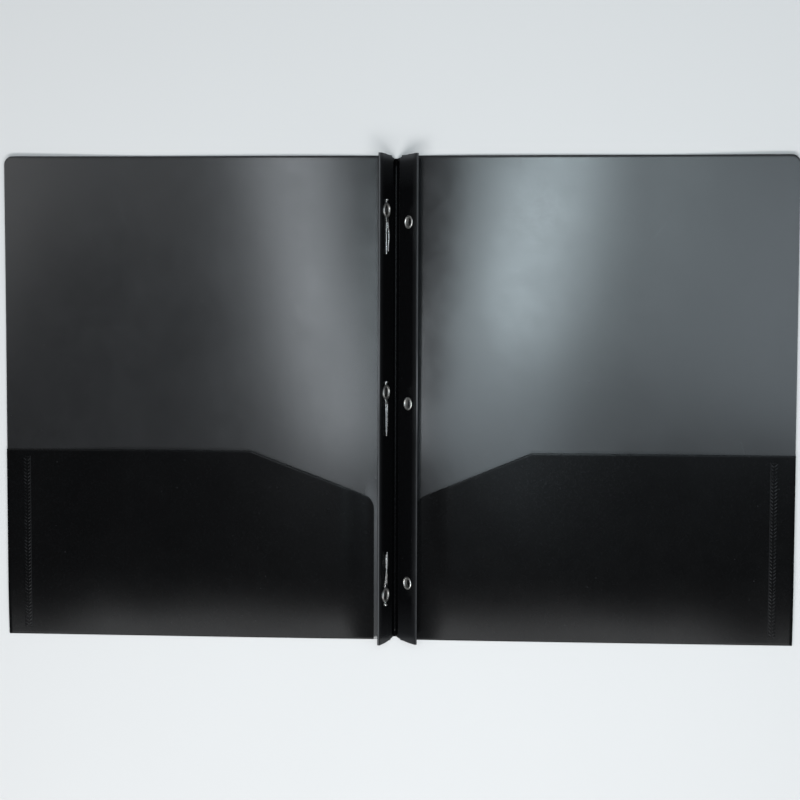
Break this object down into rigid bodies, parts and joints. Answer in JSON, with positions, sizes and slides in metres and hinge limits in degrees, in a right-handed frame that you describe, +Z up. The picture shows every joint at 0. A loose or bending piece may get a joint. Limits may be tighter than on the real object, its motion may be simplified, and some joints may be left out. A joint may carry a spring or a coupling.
{
  "type": "two pocket folder",
  "caption": "Open plastic presentation folder with two pockets, welded sides and a folded spine gusset that carries eyelets and bendable prong fasteners for punched sheets.",
  "frame": {"origin": "on the table, under the valley of the spine, at mid height of the open folder", "axes": "+X across to the back cover, +Y to the top edge, +Z up out of the inside faces"},
  "size_m": [0.4762, 0.2922, 0.0185],
  "materials": {
    "black_sheet": "satin grain",
    "nickel_plate": "plated",
    "soft_steel": "bright"
  },
  "bodies": {
    "back_cover": {"back_cover": "black_sheet", "back_crease": "black_sheet", "back_pocket": "black_sheet", "back_pocket_fold": "black_sheet", "back_weld_seam": "black_sheet"},
    "back_fin": {"back_fin": "black_sheet", "spine_fold": "black_sheet", "eyelet_top": "nickel_plate", "eyelet_middle": "nickel_plate", "eyelet_bottom": "nickel_plate"},
    "front_fin": {"front_fin": "black_sheet", "prong_rivet_top": "nickel_plate", "prong_rivet_middle": "nickel_plate", "prong_rivet_bottom": "nickel_plate", "prong_plate_top": "soft_steel", "prong_plate_middle": "soft_steel", "prong_plate_bottom": "soft_steel"},
    "front_cover": {"front_cover": "black_sheet", "front_crease": "black_sheet", "front_pocket": "black_sheet", "front_pocket_fold": "black_sheet", "front_weld_seam": "black_sheet"},
    "prong_leg_top_ridge": {"prong_leg_top_ridge": "soft_steel"},
    "prong_leg_top_valley": {"prong_leg_top_valley": "soft_steel"},
    "prong_leg_middle_ridge": {"prong_leg_middle_ridge": "soft_steel"},
    "prong_leg_middle_valley": {"prong_leg_middle_valley": "soft_steel"},
    "prong_leg_bottom_ridge": {"prong_leg_bottom_ridge": "soft_steel"},
    "prong_leg_bottom_valley": {"prong_leg_bottom_valley": "soft_steel"}
  },
  "joints": [
    {"name": "back_fin_crease", "type": "hinge", "parent": "back_cover", "child": "back_fin", "pos_m": [0.00471, 0, 0.0014], "axis": [0, 1, 0], "range_deg": [-20, 50], "stiffness_Nm_per_rad": 0.05},
    {"name": "spine_crease", "type": "hinge", "parent": "back_fin", "child": "front_fin", "pos_m": [0, 0, 0.0017], "axis": [0, 1, 0], "range_deg": [-20, 62], "stiffness_Nm_per_rad": 0.05},
    {"name": "front_cover_crease", "type": "hinge", "parent": "front_fin", "child": "front_cover", "pos_m": [-0.00398, 0, 0.0014], "axis": [0, 1, 0], "range_deg": [-20, 68], "stiffness_Nm_per_rad": 0.05},
    {"name": "prong_top_ridge_bend", "type": "hinge", "parent": "front_fin", "child": "prong_leg_top_ridge", "pos_m": [-0.00459, 0.10595, 0.0116], "axis": [0.3746, 0, -0.9272], "range_deg": [-90, 0]},
    {"name": "prong_top_valley_bend", "type": "hinge", "parent": "front_fin", "child": "prong_leg_top_valley", "pos_m": [-0.00459, 0.10595, 0.0116], "axis": [0.3746, 0, -0.9272], "range_deg": [-90, 0]},
    {"name": "prong_middle_ridge_bend", "type": "hinge", "parent": "front_fin", "child": "prong_leg_middle_ridge", "pos_m": [-0.00459, -0.002, 0.0116], "axis": [0.3746, 0, -0.9272], "range_deg": [-90, 0]},
    {"name": "prong_middle_valley_bend", "type": "hinge", "parent": "front_fin", "child": "prong_leg_middle_valley", "pos_m": [-0.00459, -0.002, 0.0116], "axis": [0.3746, 0, -0.9272], "range_deg": [-90, 0]},
    {"name": "prong_bottom_ridge_bend", "type": "hinge", "parent": "front_fin", "child": "prong_leg_bottom_ridge", "pos_m": [-0.00459, -0.10995, 0.0116], "axis": [-0.3746, 0, 0.9272], "range_deg": [-90, 0]},
    {"name": "prong_bottom_valley_bend", "type": "hinge", "parent": "front_fin", "child": "prong_leg_bottom_valley", "pos_m": [-0.00459, -0.10995, 0.0116], "axis": [-0.3746, 0, 0.9272], "range_deg": [-90, 0]}
  ]
}
